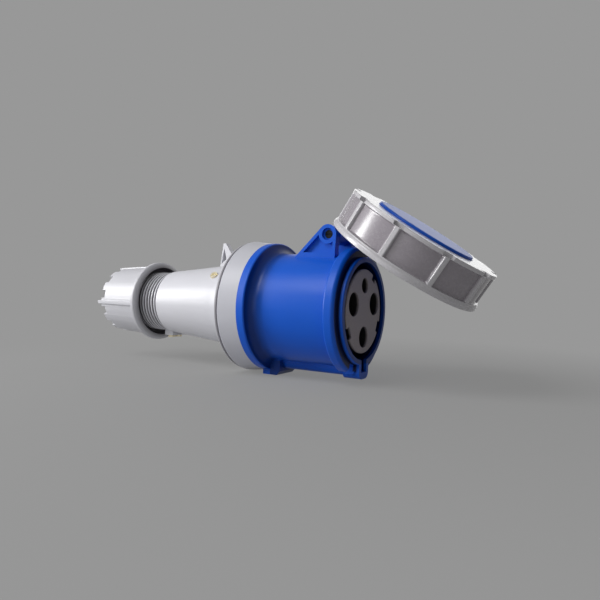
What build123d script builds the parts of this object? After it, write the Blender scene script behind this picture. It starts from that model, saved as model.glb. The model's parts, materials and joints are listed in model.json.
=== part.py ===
from build123d import *
import math
import os

# Industrial cable connector, female, with a hinged cover and a bayonet ring.
# Millimetres. The origin is the centre of the contact insert's front face.
# +X points out of the mouth, +Z is up (hinge side), and -Y is the near side.
# "Behind" is a distance measured back from the mouth's edge, "ahead" is forward of it.

mouth_x = 1.1                 # the mouth's edge stands this far ahead of the insert's face
fit_gap = 0.3                 # between curved faces of pieces that move against each other
seat_gap = 0.15               # between a fixed piece and the bore that locates it
thread_gap = 0.05             # around a screw in its hole

# Front sleeve
bore_r = 35.3                 # space that takes the mating shroud, outside
sleeve_wall = 3.7
shroud_gap = 4.8              # between the insert and the bore
insert_r = bore_r - shroud_gap
ledge_r = insert_r + 2.1
ledge_t = 3.5                 # inner ledge that the insert's flange seats on
neck_r = bore_r + sleeve_wall
barrel_r = neck_r + 1.8       # the barrel stands a little proud of the neck
barrel_taper = 0.6            # the barrel grows this much towards the flange
shroud_depth = 57.5
rim_front = 3.4
rim_rear = 11.4
rim_r = barrel_r + 5.4
rim_round = 2.6               # soft front edge of the rim
flange_front = 72.8
flange_t = 6.4
flange_r = barrel_r + 8.8
flange_fillet = 6.4           # between the barrel and the flange
insert_seat_r = bore_r + 1.0  # bore behind the ledge
spigot_r = insert_seat_r + 4.7  # rear spigot, inside the collar
spigot_len = 11.5
o_ring_at = flange_front + flange_t + spigot_len / 2
o_ring_r = 1.25
o_ring_groove = 3.2
o_ring_floor = spigot_r - 2.4
collar_bore_r = spigot_r + seat_gap
key_w = 9.0                   # keyway slot in the sleeve's floor
key_drop = bore_r + 8.7       # the slot's floor below the axis
key_rib_w = 16.0              # channel rib around the keyway
key_rib_drop = key_drop + 3.0
key_boss_drop = key_drop + 4.9  # taller boss at the mouth
key_boss_len = 13.0
key_boss_round = 5.0
collar_rear_r = flange_r + 1.8
foot_w = 24.0                 # foot under the flange
foot_drop = collar_rear_r + 0.4
foot_front = 64.0
foot_chamfer = 3.0

# Bayonet entries through the sleeve's rim, for the ring's lugs
lug_angle = 72.0              # one lug here and one opposite, seen from the front, ring unlocked
lug_span = 8.0
lug_slack = 2.5               # degrees free at each side of a lug
lug_t = 2.0
lug_tip_r = barrel_r + 1.8
lug_root_t = 2.0              # thicker root in front of each lug
entry_floor_r = neck_r + 0.4

# Hinge
pin_behind = 24.4
pin_up = rim_r + 8.4
pin_r = 3.0
pin_bore_gap = 0.07
ear_boss_r = 7.0
ear_out = 16.6                # outer faces of the two ears, from the middle plane
ear_t = 6.0
ear_base_front = 18.4
ear_base_rear = 51.0
ear_foot_low = bore_r - 1.3   # the ears' feet reach through the barrel's wall
ear_foot_high = bore_r + 2.7
ear_rib = 2.3                 # rib left round the recessed web
ear_recess = 3.0
ear_web_low = barrel_r + 0.8  # lowest edge of the recess, above the axis
pin_sink_r = pin_r + 1.4
pin_sink = 2.4
pin_slot_w = 0.9
pin_slot_depth = 0.8

# Bayonet ring, around the lid. It is drawn closed, ahead of the mouth, and then swung open.
ring_rear = -13.7             # ahead of the mouth, so behind it
ring_front = 13.4
ring_room = 5.4               # the hinge arm lies between the rim and the ring
ring_in_r = rim_r + ring_room
ring_wall = 2.0               # left under the panels
panel_r = ring_in_r + ring_wall
panel_depth = 2.3
ring_r = panel_r + panel_depth
ring_top_t = 3.0
ring_edge = 2.6               # band in front of the panels
ring_skirt = 4.8              # band behind the panels
ring_ribs = 10
ring_rib_w = 4.0
ring_rib_start = 2.6          # degrees, first rib seen from the front
ring_notch_w = 5.0            # notch in the front edge at each rib
ring_notch_t = 1.5
rear_band = 4.2               # proud band at the ring's rear edge
rear_band_rise = 1.2          # length of the slope up to the band
rear_band_r = ring_r + 0.9
bead_angles = (60.0, 180.0, 300.0)
bead_span = 18.0
bead_t = 1.2
bead_h = 1.9

# Cover, drawn closed and then swung open
open_angle = 57.0             # as the photograph shows it
lid_top = 15.2                # ahead of the mouth
lid_disc_r = 36.4
lid_wall = 3.4
lid_flange_r = ring_in_r - 0.6
lid_flange_top = ring_front - ring_top_t - fit_gap
lid_flange_t = 3.5
lid_flange_low = lid_flange_top - lid_flange_t
lid_skirt_r = neck_r + 4.6
lid_skirt_low = 2.6
lid_dish_r = 33.0
lid_dish_round = 2.0
gasket_in_r = bore_r - 0.4
gasket_out_r = neck_r + 3.1
gasket_t = 4.7
gasket_sink = 2.4
arm_half_w = 10.2
arm_low = rim_r + 0.6
arm_top = ring_in_r - 2.0
arm_reach = 3.5               # straight part of the arm, behind the ring
knuckle_r = 6.2
arm_rib_w = 6.0

# Contact insert
insert_flange_r = insert_seat_r - 0.3
insert_flange_t = 5.7
insert_rear_r = insert_r - 0.5
insert_rear = 84.0
pole_at = (insert_r - 12.5, 5.1)  # across, up
earth_up = 11.8 - insert_r
pilot_up = insert_r - 12.0
pole_hole_r = 8.5
earth_hole_r = 7.7
pilot_hole_r = 5.6
contact_front = 8.0           # contact tips, behind the mouth
contact_bore_depth = 45.0
contact_rear = 100.0
pole_bore_r = 4.1
pole_tube_r = 6.5
earth_bore_r = 5.1
earth_tube_r = 7.0
pilot_bore_r = 3.1
pilot_tube_r = 4.8
contact_collar_t = 6.0
contact_collar_h = 0.6
notches = ((56.0, 6.0, 4.5), (-25.0, 9.0, 4.0), (211.0, 9.0, 4.0))  # angle, width, depth
wire_bore_share = 0.55        # wire socket radius as a share of the tube's
wire_bore_depth = 14.0
retainer_gap = 0.2
retainer_t = 4.0
retainer_r = insert_seat_r - 0.8
retainer_screw_side = 19.0
retainer_screw_up = -14.5
retainer_screw_len = 10.0

# Collar
collar_len = 16.0
collar_web_t = 4.0
nose_r = 30.0                 # rear nose of the collar, inside the housing
nose_bore_r = 27.4
house_screw_behind = 121.5
nose_rear = house_screw_behind + 4.5

# Rear housing
lip_r = collar_rear_r - 0.8
lip_t = 1.8
lip_edge = 0.8                # bevel at the lip's rear
seam_w = 1.2                  # open groove between the collar and the lip
seam_depth = 2.4
shoulder_s = (2.1, 4.3, 7.3, 11.7, 17.7)  # rounded shoulder, behind the lip's rear face
shoulder_r = (7.0, 12.0, 15.2, 16.9, 18.0)  # and how far inside the lip it lies there
neck_start_r = nose_r + 2.1
neck_start = nose_rear - 2.0
neck_wall = 5.0
neck_end = 181.0
neck_edge = 0.6               # small bevel where the neck drops to the thread
thread_root_r = 24.2
neck_end_r = thread_root_r + 2.4
thread_crest_r = thread_root_r + 1.3
thread_pitch = 3.2
thread_end = 214.0
throat_r = 18.5
bush_seat = 200.0
bush_seat_r = thread_root_r - 2.4

# Hanging eye on the housing
eye_apex = 127.6
eye_rear = eye_apex + 4.9
eye_front = eye_apex - 19.6
eye_up = lip_r                # the eye is as high as the lip
eye_t = 5.0
eye_tip = 1.1                 # half of the blunt tip
eye_root = 26.0               # the eye reaches this deep before the housing's bore is cut
eye_hole = ((3.0, 17.2), (-2.4, 13.0), (0.1, 4.2))  # behind the apex, below the tip

# Gland
nut_front = 197.0
nut_rear = 245.5
nut_body_r = thread_crest_r + 4.7
nut_rim_r = nut_body_r + 4.2
nut_rim_in_r = nut_body_r - 0.4
nut_rim_edge = nut_front + 2.4
nut_rim_rear = nut_front + 5.6
nut_rim_slope = 1.5
nut_pocket = 5.6              # open front pocket round the thread
nut_pocket_end_r = thread_crest_r + 2.7
nut_end_r = nut_body_r - 1.8
nut_ribs = 4                  # long ribs that run on past the rear end
nut_rib_start = 5.0
nut_rib_span = 6.0            # degrees
nut_rib_h = 1.3
nut_rib_end_h = 0.7
nut_rib_over = 4.0
nut_claw_t = 3.6
nut_claw_len = 8.0
nut_notches = 12              # between the claws at the rear end
nut_notch = 4.0
nut_notch_span = 15.0
nut_bore_r = 16.5
bush_bore_r = 14.0
bush_rear = 216.5
washer_t = 4.0
washer_r = bush_seat_r + 1.8
nut_travel_in = 4.5           # one turn and a half tighter than shown

# Screws
house_screw_angle = 134.0
screw_head_r = 3.0
screw_seat_r = neck_start_r - 0.4
screw_cut = 0.9               # driver slot, width and depth
clamp_screw_behind = 182.0
clamp_screw_side = 4.2
screw_r = 1.9
screw_head_t = 1.8
clamp_pad_drop = thread_crest_r + 3.7
clamp_pad_top = thread_root_r - 1.8  # the pads reach into the wall up to here, below the axis
clamp_pad_l = 9.0
clamp_pad_w = 7.6
clamp_out_r = throat_r + 1.1
clamp_t = 2.8
clamp_len = 10.0
clamp_span = 110.0


def turned(outline, soft=()):
    """A solid of revolution about X. Outline points are (behind the mouth, radius)."""
    points = [(mouth_x - s, r) for s, r in outline]
    face = make_face(Plane.XZ * Polyline(*points, close=True))
    for (s, r), radius in soft:
        corner = face.vertices().sort_by_distance((mouth_x - s, 0, r))[0]
        face = fillet(corner, radius)
    return revolve(face, Axis.X)


def block(front, rear, low, high, side_low, side_high):
    """A box between two distances behind the mouth, two heights and two sides."""
    box = Box(rear - front, side_high - side_low, high - low)
    middle = (mouth_x - (front + rear) / 2, (side_low + side_high) / 2, (low + high) / 2)
    return Pos(*middle) * box


def sector(front, rear, r_in, r_out, middle, span):
    """Part of a ring about X. Angles run from +Y towards +Z."""
    face = Circle(r_out) - Circle(r_in)
    far = 2 * r_out
    edge = [(0, 0)]
    steps = 4
    for i in range(steps + 1):
        a = math.radians(middle - span / 2 + span * i / steps)
        edge.append((far * math.cos(a), far * math.sin(a)))
    wedge = make_face(Polyline(*edge, close=True))
    return extrude(Plane.YZ.offset(mouth_x - rear) * (face & wedge), rear - front)


def rod(front, rear, r, side=0.0, up=0.0):
    """A cylinder along X between two distances behind the mouth."""
    return extrude(Plane.YZ.offset(mouth_x - rear) * Pos(side, up) * Circle(r), rear - front)


def swung(piece):
    """Swing a piece of the cover from closed to the photographed opening."""
    hinge = Axis((mouth_x - pin_behind, 0, pin_up), (0, -1, 0))
    return piece.rotate(hinge, open_angle)


def hinge_profile(y_low, y_high, sketch):
    """Extrude a side-view sketch, drawn as (x, z), from y_low to y_high."""
    return extrude(Plane.XZ.offset(-y_high) * sketch, y_high - y_low)


def pin_circle(r):
    """A circle on the hinge's axis, in the side view."""
    return Pos(mouth_x - pin_behind, pin_up) * Circle(r)


def ear_outline():
    front_x = mouth_x - ear_base_front
    rear_x = mouth_x - ear_base_rear
    foot = make_face(Polyline((rear_x, ear_foot_low), (front_x, ear_foot_low),
                              (front_x, ear_foot_high), (rear_x, ear_foot_high), close=True))
    return make_hull(pin_circle(ear_boss_r).edges() + foot.edges())


def on_side(side, inner, outer, sketch):
    """Extrude a side-view sketch between two distances from the middle plane, on one side."""
    if side > 0:
        return hinge_profile(inner, outer, sketch)
    return hinge_profile(-outer, -inner, sketch)


def hinge_ear(side):
    outline = ear_outline()
    ear = on_side(side, ear_out - ear_t, ear_out, outline)
    tall = pin_up - ear_web_low + ear_boss_r
    wide = 2 * (ear_base_rear - ear_base_front)
    above = Pos(mouth_x - pin_behind, ear_web_low + tall / 2) * Rectangle(wide, tall)
    recess = (offset(outline, -ear_rib) & above) - pin_circle(ear_boss_r)
    ear -= on_side(side, ear_out - ear_recess, ear_out + 1, recess)
    return ear - on_side(side, ear_out - pin_sink, ear_out + 1, pin_circle(pin_sink_r))


def bayonet_entry(middle):
    """A gap through the rim that lets a lug of the ring pass behind it."""
    return sector(0, rim_rear + 1, entry_floor_r, rim_r + 1, middle, lug_span + 2 * lug_slack)


def front_sleeve():
    flange_rear = flange_front + flange_t
    spigot_rear = flange_rear + spigot_len
    ledge_rear = shroud_depth + ledge_t
    wide_r = barrel_r + barrel_taper
    body = turned(
        [(0, 0), (0, neck_r), (rim_front, neck_r), (rim_front, rim_r), (rim_rear, rim_r),
         (rim_rear, barrel_r), (flange_front, wide_r), (flange_front, flange_r),
         (flange_rear, flange_r), (flange_rear, spigot_r), (spigot_rear, spigot_r),
         (spigot_rear, 0)],
        soft=[((0, neck_r), 0.8), ((rim_front, rim_r), rim_round), ((rim_rear, rim_r), 1.4),
              ((rim_rear, barrel_r), 1.2), ((flange_front, wide_r), flange_fillet),
              ((flange_front, flange_r), 1.2)])
    rib = block(0, flange_front + flange_t / 2, -key_rib_drop, -bore_r, -key_rib_w / 2, key_rib_w / 2)
    boss = block(0, key_boss_len, -key_boss_drop, -bore_r, -key_rib_w / 2, key_rib_w / 2)
    rib = fillet(rib.edges().filter_by(Axis.X).group_by(Axis.Z)[0], key_boss_round)
    boss = fillet(boss.edges().filter_by(Axis.X).group_by(Axis.Z)[0], key_boss_round)
    foot = block(foot_front, flange_rear, -foot_drop, -bore_r, -foot_w / 2, foot_w / 2)
    foot_edge = foot.edges().filter_by(Axis.Y).group_by(Axis.Z)[0].sort_by(Axis.X)[-1]
    foot = chamfer(foot_edge, foot_chamfer)
    body = body + rib + boss + foot + hinge_ear(1) + hinge_ear(-1)
    body -= turned(
        [(-1, 0), (-1, bore_r), (shroud_depth, bore_r), (shroud_depth, ledge_r),
         (ledge_rear, ledge_r), (ledge_rear, insert_seat_r), (spigot_rear + 1, insert_seat_r),
         (spigot_rear + 1, 0)])
    body -= block(-1, shroud_depth, -key_drop, 0, -key_w / 2, key_w / 2)
    body = body - bayonet_entry(lug_angle) - bayonet_entry(lug_angle + 180)
    body -= hinge_profile(-ear_out - 1, ear_out + 1, pin_circle(pin_r + thread_gap))
    groove_front = o_ring_at - o_ring_groove / 2
    groove_rear = o_ring_at + o_ring_groove / 2
    return body - turned([(groove_front, o_ring_floor), (groove_front, spigot_r + 1),
                          (groove_rear, spigot_r + 1), (groove_rear, o_ring_floor)])


def sleeve_seal():
    centre_r = (o_ring_floor + collar_bore_r) / 2
    section = Plane.XZ * Pos(mouth_x - o_ring_at, centre_r) * Circle(o_ring_r)
    return revolve(section, Axis.X)


def contact_places():
    side, up = pole_at
    return {
        "pole_contact_left": (-side, up, pole_hole_r, pole_tube_r, pole_bore_r),
        "pole_contact_right": (side, up, pole_hole_r, pole_tube_r, pole_bore_r),
        "earth_contact": (0.0, earth_up, earth_hole_r, earth_tube_r, earth_bore_r),
        "pilot_contact": (0.0, pilot_up, pilot_hole_r, pilot_tube_r, pilot_bore_r),
    }


def edge_notch(angle, width, depth):
    """A round-ended notch in the insert's front edge, open at the face."""
    a = math.radians(angle)
    reach = insert_r - depth / 2 + 1
    length = shroud_depth - ledge_t
    slot = Rot(X=angle) * Box(length, depth + 2, width)
    return Pos(mouth_x - length / 2, reach * math.cos(a), reach * math.sin(a)) * slot


def contact_insert():
    flange_front_s = shroud_depth + ledge_t
    flange_rear_s = flange_front_s + insert_flange_t
    body = turned(
        [(mouth_x, 0), (mouth_x, insert_r), (flange_front_s, insert_r),
         (flange_front_s, insert_flange_r), (flange_rear_s, insert_flange_r),
         (flange_rear_s, insert_rear_r), (insert_rear, insert_rear_r), (insert_rear, 0)],
        soft=[((mouth_x, insert_r), 1.0)])
    for side, up, hole_r, tube_r, inner_r in contact_places().values():
        body -= rod(0, insert_rear + 1, hole_r, side, up)
        seat_r = hole_r + contact_collar_h
        body -= rod(insert_rear - contact_collar_t, insert_rear + 1, seat_r, side, up)
    for angle, width, depth in notches:
        body -= edge_notch(angle, width, depth)
    return body - screw_holes(insert_rear - retainer_screw_len, insert_rear + 1)


def screw_holes(front, rear):
    """Holes for the two screws of the contact retainer."""
    left = rod(front, rear, screw_r + thread_gap, -retainer_screw_side, retainer_screw_up)
    right = rod(front, rear, screw_r + thread_gap, retainer_screw_side, retainer_screw_up)
    return left + right


def contact(name):
    """A turned contact tube with a locating collar and a wire socket behind."""
    side, up, hole_r, tube_r, inner_r = contact_places()[name]
    collar_r = hole_r + contact_collar_h - seat_gap
    body = rod(contact_front, contact_rear, tube_r, side, up)
    body += rod(insert_rear - contact_collar_t, insert_rear, collar_r, side, up)
    guide_front = contact_front + contact_bore_depth
    body += rod(guide_front, guide_front + contact_collar_t, hole_r - seat_gap, side, up)
    body -= rod(0, guide_front, inner_r, side, up)
    body -= rod(contact_rear - wire_bore_depth, contact_rear + 1, tube_r * wire_bore_share, side, up)
    direction = math.degrees(math.atan2(up, side))
    out = math.hypot(side, up)
    at = contact_rear - wire_bore_depth / 2
    return body - radial_rod(at, out, out + 2 * tube_r, screw_r + thread_gap, direction)


def radial_rod(behind, r_from, r_to, r, angle):
    """A cylinder that stands out from the axis at an angle, between two radii."""
    rod_up = extrude(Plane.XY.offset(r_from) * Circle(r), r_to - r_from)
    return Pos(mouth_x - behind, 0, 0) * Rot(X=angle - 90) * rod_up


def terminal_screws():
    """One screw for each contact, clamping the wire from outside."""
    group = []
    for side, up, hole_r, tube_r, inner_r in contact_places().values():
        direction = math.degrees(math.atan2(up, side))
        out = math.hypot(side, up) + tube_r
        tip = out - tube_r * (1 - wire_bore_share)
        at = contact_rear - wire_bore_depth / 2
        group.append(radial_rod(at, tip, out + 0.6, screw_r, direction))
    return Compound(children=group)


def contact_retainer():
    front = insert_rear + retainer_gap
    rear = front + retainer_t
    body = rod(front, rear, retainer_r)
    for side, up, hole_r, tube_r, inner_r in contact_places().values():
        body -= rod(front - 1, rear + 1, tube_r + seat_gap, side, up)
    return body - screw_holes(front - 1, rear + 1)


def retainer_screws():
    tip = insert_rear - retainer_screw_len + 1
    rear = insert_rear + retainer_gap + retainer_t
    group = []
    for side in (-retainer_screw_side, retainer_screw_side):
        screw = rod(tip, rear, screw_r, side, retainer_screw_up)
        group.append(screw + rod(rear, rear + screw_head_t, screw_head_r, side, retainer_screw_up))
    return Compound(children=group)


def housing_collar():
    front = flange_front + flange_t
    rear = front + collar_len
    web = rear - collar_web_t
    body = turned(
        [(front, collar_bore_r), (front, flange_r), (rear, collar_rear_r), (rear, nose_r),
         (nose_rear, nose_r), (nose_rear, nose_bore_r), (web, nose_bore_r), (web, collar_bore_r)],
        soft=[((rear, collar_rear_r), 0.8)])
    for angle in (house_screw_angle, house_screw_angle + 180):
        body -= radial_rod(house_screw_behind, nose_bore_r - 2, nose_r + 2, screw_r + thread_gap, angle)
    return body


def housing_outline():
    """Outer profile of the rear housing, from the lip to the thread's end."""
    front = flange_front + flange_t + collar_len
    lip_front = front + seam_w
    lip_rear = lip_front + lip_t
    points = [(front, lip_r - seam_depth), (lip_front, lip_r - seam_depth), (lip_front, lip_r),
              (lip_rear, lip_r), (lip_rear + lip_edge, lip_r - 2 * lip_edge)]
    for back, inward in zip(shoulder_s, shoulder_r):
        points.append((lip_rear + back, lip_r - inward))
    points += [(neck_start, neck_start_r), (neck_end - neck_edge, neck_end_r),
               (neck_end, neck_end_r - neck_edge), (neck_end, thread_root_r)]
    s = neck_end + thread_pitch / 2
    crest = thread_pitch * 0.3
    flank = thread_pitch * 0.2
    while s + crest + 2 * flank < thread_end:
        points += [(s, thread_root_r), (s + flank, thread_crest_r)]
        points += [(s + flank + crest, thread_crest_r), (s + 2 * flank + crest, thread_root_r)]
        s += thread_pitch
    points.append((thread_end, thread_root_r))
    return points


def hanging_eye():
    apex_x = mouth_x - eye_apex
    outline = Polyline((mouth_x - eye_rear, eye_root), (mouth_x - eye_front, eye_root),
                       (apex_x + eye_tip, eye_up), (apex_x - eye_tip, eye_up), close=True)
    hole = Polyline(*[(apex_x - s, eye_up - down) for s, down in eye_hole], close=True)
    return hinge_profile(-eye_t / 2, eye_t / 2, make_face(outline) - make_face(hole))


def rear_housing():
    front = flange_front + flange_t + collar_len
    nose_room = nose_r + seat_gap
    outline = housing_outline()
    outline += [(thread_end, bush_seat_r), (bush_seat, bush_seat_r), (bush_seat, throat_r),
                (bush_seat - 3, throat_r), (neck_end, neck_end_r - neck_wall),
                (nose_rear + 2, nose_bore_r),
                (nose_rear + 1, nose_room), (front + 4, nose_room), (front, nose_room + 3)]
    body = turned(outline)
    room = [(front, 0), (front, nose_room), (eye_rear + 1, nose_room), (eye_rear + 1, 0)]
    body += hanging_eye() - turned(room)
    far_r = neck_start_r + 6
    for angle in (house_screw_angle, house_screw_angle + 180):
        body -= radial_rod(house_screw_behind, nose_r - 2, far_r, screw_r + thread_gap, angle)
        body -= radial_rod(house_screw_behind, screw_seat_r, far_r, screw_head_r + 0.4, angle)
    pad_front = clamp_screw_behind - clamp_pad_l / 2
    pad_rear = clamp_screw_behind + clamp_pad_l / 2
    for side in (-clamp_screw_side, clamp_screw_side):
        body += block(pad_front, pad_rear, -clamp_pad_drop, -clamp_pad_top,
                      side - clamp_pad_w / 2, side + clamp_pad_w / 2)
    for side in (-clamp_screw_side, clamp_screw_side):
        body -= upright_rod(clamp_screw_behind, side, -clamp_pad_drop - 1, -throat_r, screw_r + thread_gap)
    return body


def upright_rod(behind, side, low, high, r):
    return extrude(Plane.XY.offset(low) * Pos(mouth_x - behind, side) * Circle(r), high - low)


def screw_slot():
    """What a driver slot takes from a screw head, with its middle at the head's face."""
    return Box(2 * screw_head_r, screw_cut, 2 * screw_cut)


def housing_screws():
    """Two locking screws through the housing into the collar's nose."""
    group = []
    for angle in (house_screw_angle, house_screw_angle + 180):
        screw = radial_rod(house_screw_behind, nose_bore_r + 0.3, screw_seat_r, screw_r, angle)
        top = screw_seat_r + screw_head_t
        screw += radial_rod(house_screw_behind, screw_seat_r, top, screw_head_r, angle)
        slot = Pos(mouth_x - house_screw_behind, 0, 0) * Rot(X=angle - 90) * Pos(0, 0, top)
        group.append(screw - slot * screw_slot())
    return Compound(children=group)


def cable_clamp():
    """Curved saddle inside the neck, pressed on the cable by the clamp screws."""
    front = clamp_screw_behind - clamp_len / 2
    rear = clamp_screw_behind + clamp_len / 2
    return sector(front, rear, clamp_out_r - clamp_t, clamp_out_r, 270, clamp_span)


def clamp_screws():
    group = []
    for side in (-clamp_screw_side, clamp_screw_side):
        tip = -math.sqrt(clamp_out_r ** 2 - clamp_screw_side ** 2) - 1.6
        screw = upright_rod(clamp_screw_behind, side, -clamp_pad_drop, tip, screw_r)
        low = -clamp_pad_drop - screw_head_t
        screw += upright_rod(clamp_screw_behind, side, low, -clamp_pad_drop, screw_head_r)
        slot = Pos(mouth_x - clamp_screw_behind, side, low)
        group.append(screw - slot * screw_slot())
    return Compound(children=group)


def hinge_pin():
    reach = ear_out - pin_sink
    pin = hinge_profile(-reach, reach, pin_circle(pin_r))
    for end in (-reach, reach):
        slot = Box(2 * pin_r + 1, 2 * pin_slot_depth, pin_slot_w)
        pin -= Pos(mouth_x - pin_behind, end, pin_up) * slot
    return pin


def cover_lid():
    seat = lid_skirt_low + gasket_sink
    roof = lid_top - lid_wall
    body = turned(
        [(-lid_top, 0), (-lid_top, lid_disc_r), (-lid_flange_top, lid_disc_r),
         (-lid_flange_top, lid_flange_r), (-lid_flange_low, lid_flange_r),
         (-lid_flange_low, lid_skirt_r), (-lid_skirt_low, lid_skirt_r),
         (-lid_skirt_low, gasket_out_r + seat_gap), (-seat, gasket_out_r + seat_gap),
         (-seat, gasket_in_r - seat_gap), (-lid_skirt_low, gasket_in_r - seat_gap),
         (-lid_skirt_low, lid_dish_r), (-roof, lid_dish_r), (-roof, 0)],
        soft=[((-lid_top, lid_disc_r), 1.0), ((-roof, lid_dish_r), lid_dish_round)])
    bend_r = (arm_top - arm_low) / 2
    bend_behind = arm_reach - ring_rear
    bend = Pos(mouth_x - bend_behind, arm_top - bend_r) * Circle(bend_r)
    neck = make_hull(pin_circle(knuckle_r).edges() + bend.edges())
    root = -(lid_flange_low + 1)
    body += hinge_profile(-arm_half_w, arm_half_w, neck)
    body += block(root, bend_behind, arm_low, arm_top, -arm_half_w, arm_half_w)
    body += block(root, -lid_skirt_low, lid_skirt_r - 0.6, arm_low + 1, -arm_rib_w / 2, arm_rib_w / 2)
    body -= hinge_profile(-arm_half_w - 1, arm_half_w + 1, pin_circle(pin_r + pin_bore_gap))
    return swung(body)


def cover_gasket():
    rear = lid_skirt_low + gasket_sink
    front = rear - gasket_t
    ring = turned(
        [(-front, gasket_in_r), (-rear, gasket_in_r), (-rear, gasket_out_r), (-front, gasket_out_r)],
        soft=[((-front, gasket_in_r), 0.8), ((-front, gasket_out_r), 0.8)])
    return swung(ring)


def ring_radials(front, rear, width, inner):
    """Bars that stand out from a radius at every rib of the ring."""
    bars = []
    for i in range(ring_ribs):
        bar = Box(front - rear, ring_r, width)
        angle = ring_rib_start + 360 * i / ring_ribs
        bars.append(Rot(X=angle) * Pos(mouth_x + (front + rear) / 2, inner + ring_r / 2, 0) * bar)
    return bars


def bayonet_ring():
    under_top = ring_front - ring_top_t
    band_front = ring_rear + rear_band
    body = turned(
        [(-ring_rear, ring_in_r), (-ring_rear, rear_band_r), (rear_band_rise - band_front, rear_band_r),
         (-band_front, ring_r), (-ring_front, ring_r), (-ring_front, lid_disc_r + fit_gap),
         (-under_top, lid_disc_r + fit_gap), (-under_top, ring_in_r)],
        soft=[((-ring_rear, rear_band_r), 0.8), ((-ring_front, ring_r), 1.2)])
    panel_low = ring_rear + ring_skirt
    panel_high = ring_front - ring_edge
    channel = sector(-panel_high, -panel_low, panel_r, ring_r + panel_depth, 0, 360)
    for bar in ring_radials(panel_high + 1, panel_low - 1, ring_rib_w, panel_r - 1):
        channel -= bar
    body -= channel
    notch_in_r = ring_r - 2 * ring_notch_t
    for bar in ring_radials(ring_front + 1, ring_front - ring_notch_t, ring_notch_w, notch_in_r):
        body -= bar
    lug_rear = -ring_rear - fit_gap / 2
    for angle in (lug_angle, lug_angle + 180):
        body += sector(lug_rear - lug_t, lug_rear, lug_tip_r, ring_in_r + 1, angle, lug_span)
        body += sector(lug_rear - lug_t - lug_root_t, lug_rear, rim_r + 2, ring_in_r + 1, angle, lug_span)
    bead_rear = lid_flange_low - fit_gap
    for angle in bead_angles:
        bead_in_r = ring_in_r - bead_h
        body += sector(-bead_rear, bead_t - bead_rear, bead_in_r, ring_in_r + 1, angle, bead_span)
    return swung(body)


def seal_bush():
    r = bush_seat_r - seat_gap
    return turned(
        [(bush_seat, bush_bore_r), (bush_seat, r), (thread_end, r), (bush_rear, r - 1.6),
         (bush_rear, bush_bore_r)])


def thrust_washer():
    front = bush_rear + fit_gap + nut_travel_in
    return turned([(front, bush_bore_r + 0.6), (front, washer_r), (front + washer_t, washer_r),
                   (front + washer_t, bush_bore_r + 0.6)])


def gland_nut():
    bore = thread_crest_r + fit_gap
    seat = bush_rear + nut_travel_in + washer_t + 2 * fit_gap
    pocket = washer_r + fit_gap
    claw_in = nut_end_r - nut_claw_t
    claw_front = nut_rear - nut_claw_len
    pocket_front = seat - washer_t + 1
    body = turned(
        [(nut_front, nut_rim_in_r), (nut_rim_edge, nut_rim_r), (nut_rim_rear, nut_rim_r),
         (nut_rim_rear + nut_rim_slope, nut_body_r), (nut_rear, nut_end_r), (nut_rear, claw_in),
         (claw_front, claw_in), (claw_front, nut_bore_r), (seat, nut_bore_r), (seat, pocket),
         (pocket_front, pocket), (pocket_front - (bore - pocket), bore),
         (nut_front + nut_pocket + 1, bore), (nut_front + nut_pocket, nut_pocket_end_r)],
        soft=[((nut_rim_edge, nut_rim_r), 0.8)])
    rib_front = nut_rim_rear - 1
    rib_rear = nut_rear + nut_rib_over
    rib_r = nut_body_r + nut_rib_h
    far_r = 2 * rib_r
    cone = turned([(rib_front, rib_r), (rib_rear, nut_end_r + nut_rib_end_h), (rib_rear, far_r),
                   (rib_front, far_r)])
    inside = turned([(rib_front - 1, 0), (rib_front - 1, nut_body_r - nut_rib_h),
                     (nut_rear - 1, nut_end_r - nut_rib_h), (nut_rear - 1, 0)])
    for i in range(nut_ribs):
        angle = nut_rib_start + 360 * i / nut_ribs
        body += sector(rib_front, rib_rear, claw_in + 0.8, rib_r, angle, nut_rib_span) - cone - inside
    for i in range(nut_notches):
        angle = nut_rib_start + 360 * (i + 0.5) / nut_notches
        body -= sector(nut_rear - nut_notch, nut_rear + 1, claw_in - 1, nut_end_r + 1, angle, nut_notch_span)
    return body


def write(name, piece):
    piece.label = name
    export_step(piece, os.path.join("parts", name + ".step"))


def main():
    os.makedirs("parts", exist_ok=True)
    write("front_sleeve", front_sleeve())
    write("sleeve_seal", sleeve_seal())
    write("contact_insert", contact_insert())
    for name in contact_places():
        write(name, contact(name))
    write("terminal_screws", terminal_screws())
    write("contact_retainer", contact_retainer())
    write("retainer_screws", retainer_screws())
    write("housing_collar", housing_collar())
    write("rear_housing", rear_housing())
    write("housing_screws", housing_screws())
    write("cable_clamp", cable_clamp())
    write("clamp_screws", clamp_screws())
    write("hinge_pin", hinge_pin())
    write("seal_bush", seal_bush())
    write("thrust_washer", thrust_washer())
    write("gland_nut", gland_nut())
    write("cover_lid", cover_lid())
    write("cover_gasket", cover_gasket())
    write("bayonet_ring", bayonet_ring())


main()
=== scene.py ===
import bpy
import bmesh
import json
import math
from mathutils import Matrix, Vector


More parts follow.
